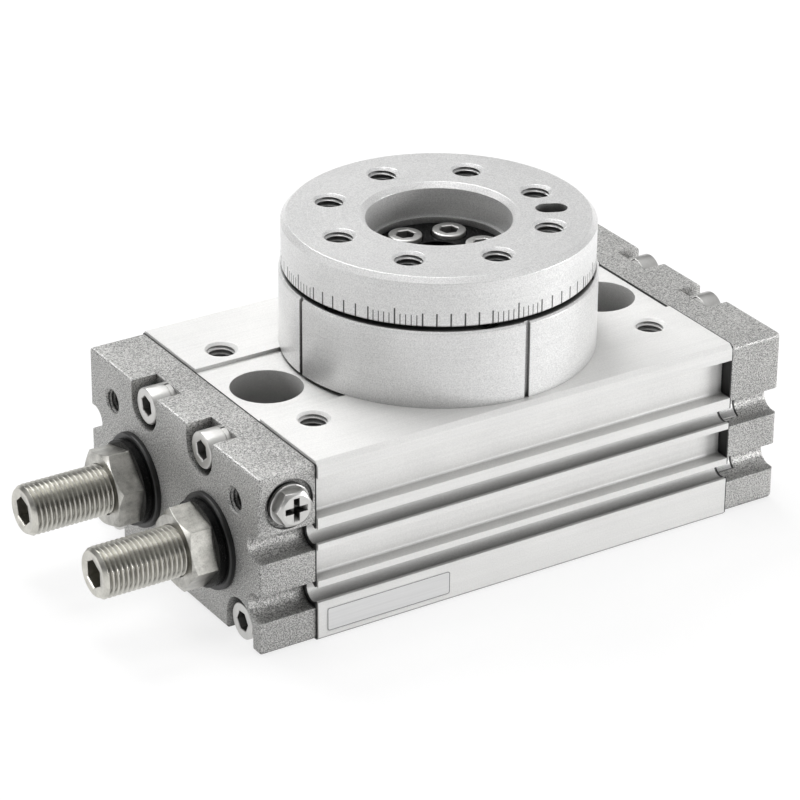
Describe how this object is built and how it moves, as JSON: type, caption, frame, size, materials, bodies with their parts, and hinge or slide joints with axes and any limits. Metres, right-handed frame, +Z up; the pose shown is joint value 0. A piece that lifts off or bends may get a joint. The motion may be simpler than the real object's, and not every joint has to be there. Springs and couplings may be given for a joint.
{
  "type": "pneumatic rotary table",
  "caption": "Pneumatic rotary table: two rack pistons in an extruded body turn a round drilled table through 190 degrees; two adjusting bolts with lock nuts set the end stops.",
  "frame": {"origin": "centre of the base's centring bore, on the table's axis of rotation", "axes": "+Z up along the table's axis, X along the body with the adjusting bolts at -X, Y across; the pictured long side is -Y"},
  "size_m": [0.1414, 0.0694, 0.063],
  "materials": {
    "extruded_aluminium": "matte clear anodised extrusion",
    "cast_aluminium": "shot-blasted die casting",
    "machined_aluminium": "turned and matte clear anodised",
    "black_rubber": "smooth moulded rubber",
    "black_steel": "black oxide",
    "plated_steel": "zinc or nickel plated",
    "alloy_steel": "ground and nitrided",
    "stainless_steel": "ground bar",
    "bearing_steel": "ground and polished",
    "cage_steel": "pressed steel",
    "bearing_resin": "filled bearing resin",
    "magnet_rubber": "bonded magnet",
    "cushion_urethane": "cast urethane"
  },
  "bodies": {
    "housing": {"body_block": "extruded_aluminium", "near_cover": "cast_aluminium", "far_cover": "cast_aluminium", "near_gasket": "black_rubber", "far_gasket": "black_rubber", "crossover_plate": "machined_aluminium", "plate_seal": "black_rubber", "near_cover_screws": "plated_steel", "near_spring_washers": "plated_steel", "far_cover_screws": "plated_steel", "far_spring_washers": "plated_steel", "side_port_plugs": "plated_steel", "plug_gaskets": "black_rubber", "lock_nuts": "plated_steel", "seal_washers": "black_rubber", "seal_retainers": "black_steel", "bearing_retainer": "machined_aluminium", "retainer_screws": "plated_steel", "upper_bearing_outer_ring": "bearing_steel", "lower_bearing_outer_ring": "bearing_steel"},
    "table_unit": {"table": "machined_aluminium", "clamp_disc": "black_steel", "table_screws": "plated_steel", "parallel_pin": "alloy_steel", "pinion_shaft": "alloy_steel", "upper_bearing_inner_ring": "bearing_steel", "lower_bearing_inner_ring": "bearing_steel"},
    "upper_ball_set": {"upper_bearing_cage": "cage_steel", "upper_bearing_balls": "bearing_steel"},
    "lower_ball_set": {"lower_bearing_cage": "cage_steel", "lower_bearing_balls": "bearing_steel"},
    "piston_left": {"rack_piston_left": "stainless_steel", "wear_rings_left": "bearing_resin", "piston_seals_left": "black_rubber", "sensor_magnet_left": "magnet_rubber"},
    "piston_right": {"rack_piston_right": "stainless_steel", "wear_rings_right": "bearing_resin", "piston_seals_right": "black_rubber", "sensor_magnet_right": "magnet_rubber"},
    "stop_pad_left": {"cushion_pad_left": "cushion_urethane"},
    "stop_pad_right": {"cushion_pad_right": "cushion_urethane"},
    "stop_bolt_left": {"adjusting_bolt_left": "plated_steel"},
    "stop_bolt_right": {"adjusting_bolt_right": "plated_steel"}
  },
  "joints": [
    {"name": "table_rotation", "type": "hinge", "parent": "housing", "child": "table_unit", "pos_m": [0, 0, 0.041], "axis": [0, 0, 1], "range_deg": [-95, 95]},
    {"name": "rack_piston_left_stroke", "type": "slide", "parent": "housing", "child": "piston_left", "axis": [1, 0, 0], "range_m": [-0.0125, 0.0125]},
    {"name": "rack_piston_right_stroke", "type": "slide", "parent": "housing", "child": "piston_right", "axis": [1, 0, 0], "range_m": [-0.0125, 0.0125]},
    {"name": "upper_ball_orbit", "type": "hinge", "parent": "housing", "child": "upper_ball_set", "pos_m": [0, 0, 0.041], "axis": [0, 0, 1], "range_deg": [-40, 40]},
    {"name": "lower_ball_orbit", "type": "hinge", "parent": "housing", "child": "lower_ball_set", "pos_m": [0, 0, 0.0047], "axis": [0, 0, 1], "range_deg": [-41, 41]},
    {"name": "stop_pad_left_travel", "type": "slide", "parent": "housing", "child": "stop_pad_left", "axis": [1, 0, 0], "range_m": [-0.002, 0.002]},
    {"name": "adjusting_bolt_left_turn", "type": "hinge", "parent": "stop_pad_left", "child": "stop_bolt_left", "pos_m": [-0.07, 0.014, 0.016], "axis": [1, 0, 0], "range_deg": [-720, 720]},
    {"name": "stop_pad_right_travel", "type": "slide", "parent": "housing", "child": "stop_pad_right", "axis": [1, 0, 0], "range_m": [-0.002, 0.002]},
    {"name": "adjusting_bolt_right_turn", "type": "hinge", "parent": "stop_pad_right", "child": "stop_bolt_right", "pos_m": [-0.07, -0.014, 0.016], "axis": [1, 0, 0], "range_deg": [-720, 720]}
  ],
  "couplings": [
    {"joint": "rack_piston_left_stroke", "follows": "table_rotation", "m_per_rad": -0.0075},
    {"joint": "rack_piston_right_stroke", "follows": "table_rotation", "m_per_rad": 0.0075},
    {"joint": "upper_ball_orbit", "follows": "table_rotation", "ratio": 0.41667},
    {"joint": "lower_ball_orbit", "follows": "table_rotation", "ratio": 0.42727},
    {"joint": "stop_pad_left_travel", "follows": "adjusting_bolt_left_turn", "m_per_rad": 0.00015915},
    {"joint": "stop_pad_right_travel", "follows": "adjusting_bolt_right_turn", "m_per_rad": 0.00015915}
  ]
}
